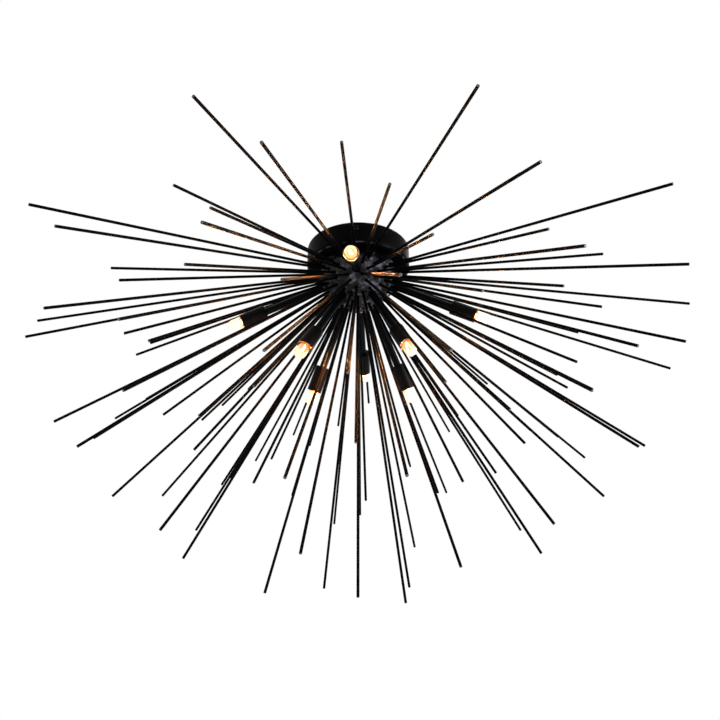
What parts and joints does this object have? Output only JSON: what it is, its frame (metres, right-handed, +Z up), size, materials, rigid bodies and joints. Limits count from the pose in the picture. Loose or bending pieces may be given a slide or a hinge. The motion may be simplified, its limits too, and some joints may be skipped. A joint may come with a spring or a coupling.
{
  "type": "flush mount ceiling light",
  "caption": "Starburst flush mount ceiling light: black rods of two lengths radiate from a half ball hub under a round canopy, with capsule bulbs in short sleeves.",
  "frame": {"origin": "centre of the canopy's rim, on the ceiling plane, which is also the middle of the mounting bar's slots", "axes": "+Z up into the ceiling, -Y to the front of the picture, +X to its right"},
  "size_m": [0.7926, 0.7598, 0.435],
  "materials": {
    "satin_black": "satin",
    "rod_black": "satin",
    "hub_black": "gloss",
    "zinc_steel": "zinc plated",
    "nipple_brass": "bare",
    "ground_green": "satin",
    "holder_ceramic": "glazed",
    "bulb_glass": "clear",
    "filament_and_pins": "bare"
  },
  "bodies": {
    "fixture": {"arm_nuts": "zinc_steel", "canopy": "satin_black", "canopy_side_screws": "satin_black", "ground_screw": "ground_green", "hub_dome": "hub_black", "hub_plate": "zinc_steel", "hub_plate_screws": "zinc_steel", "lamp_arm_lower_back_left": "satin_black", "lamp_arm_lower_back_right": "satin_black", "lamp_arm_lower_front_left": "satin_black", "lamp_arm_lower_front_right": "satin_black", "lamp_arm_upper_back": "satin_black", "lamp_arm_upper_front": "satin_black", "lamp_arm_upper_left": "satin_black", "lamp_arm_upper_right": "satin_black", "lamp_holder_lower_back_left": "holder_ceramic", "lamp_holder_lower_back_right": "holder_ceramic", "lamp_holder_lower_front_left": "holder_ceramic", "lamp_holder_lower_front_right": "holder_ceramic", "lamp_holder_upper_back": "holder_ceramic", "lamp_holder_upper_front": "holder_ceramic", "lamp_holder_upper_left": "holder_ceramic", "lamp_holder_upper_right": "holder_ceramic", "lamp_sleeve_lower_back_left": "satin_black", "lamp_sleeve_lower_back_right": "satin_black", "lamp_sleeve_lower_front_left": "satin_black", "lamp_sleeve_lower_front_right": "satin_black", "lamp_sleeve_upper_back": "satin_black", "lamp_sleeve_upper_front": "satin_black", "lamp_sleeve_upper_left": "satin_black", "lamp_sleeve_upper_right": "satin_black", "mounting_bar": "zinc_steel", "nipple": "nipple_brass", "nipple_nuts": "zinc_steel", "nipple_washer": "zinc_steel", "rods_bottom": "rod_black", "rods_ring_1": "rod_black", "rods_ring_2": "rod_black", "rods_ring_3": "rod_black", "rods_ring_4": "rod_black", "rods_ring_5": "rod_black", "rods_ring_6": "rod_black", "rods_ring_7": "rod_black", "rods_ring_8": "rod_black"},
    "bulb_upper_front": {"bulb_glass_upper_front": "bulb_glass", "bulb_filament_upper_front": "filament_and_pins"},
    "bulb_upper_right": {"bulb_glass_upper_right": "bulb_glass", "bulb_filament_upper_right": "filament_and_pins"},
    "bulb_upper_back": {"bulb_glass_upper_back": "bulb_glass", "bulb_filament_upper_back": "filament_and_pins"},
    "bulb_upper_left": {"bulb_glass_upper_left": "bulb_glass", "bulb_filament_upper_left": "filament_and_pins"},
    "bulb_lower_front_right": {"bulb_glass_lower_front_right": "bulb_glass", "bulb_filament_lower_front_right": "filament_and_pins"},
    "bulb_lower_back_right": {"bulb_glass_lower_back_right": "bulb_glass", "bulb_filament_lower_back_right": "filament_and_pins"},
    "bulb_lower_back_left": {"bulb_glass_lower_back_left": "bulb_glass", "bulb_filament_lower_back_left": "filament_and_pins"},
    "bulb_lower_front_left": {"bulb_glass_lower_front_left": "bulb_glass", "bulb_filament_lower_front_left": "filament_and_pins"}
  },
  "joints": [
    {"name": "bulb_upper_front_pull", "type": "slide", "parent": "fixture", "child": "bulb_upper_front", "axis": [0, -0.9092, -0.4163], "range_m": [0, 0.045]},
    {"name": "bulb_upper_right_pull", "type": "slide", "parent": "fixture", "child": "bulb_upper_right", "axis": [0.9092, 0, -0.4163], "range_m": [0, 0.045]},
    {"name": "bulb_upper_back_pull", "type": "slide", "parent": "fixture", "child": "bulb_upper_back", "axis": [0, 0.9092, -0.4163], "range_m": [0, 0.045]},
    {"name": "bulb_upper_left_pull", "type": "slide", "parent": "fixture", "child": "bulb_upper_left", "axis": [-0.9092, 0, -0.4163], "range_m": [0, 0.045]},
    {"name": "bulb_lower_front_right_pull", "type": "slide", "parent": "fixture", "child": "bulb_lower_front_right", "axis": [0.3695, -0.3695, -0.8526], "range_m": [0, 0.045]},
    {"name": "bulb_lower_back_right_pull", "type": "slide", "parent": "fixture", "child": "bulb_lower_back_right", "axis": [0.3695, 0.3695, -0.8526], "range_m": [0, 0.045]},
    {"name": "bulb_lower_back_left_pull", "type": "slide", "parent": "fixture", "child": "bulb_lower_back_left", "axis": [-0.3695, 0.3695, -0.8526], "range_m": [0, 0.045]},
    {"name": "bulb_lower_front_left_pull", "type": "slide", "parent": "fixture", "child": "bulb_lower_front_left", "axis": [-0.3695, -0.3695, -0.8526], "range_m": [0, 0.045]}
  ]
}
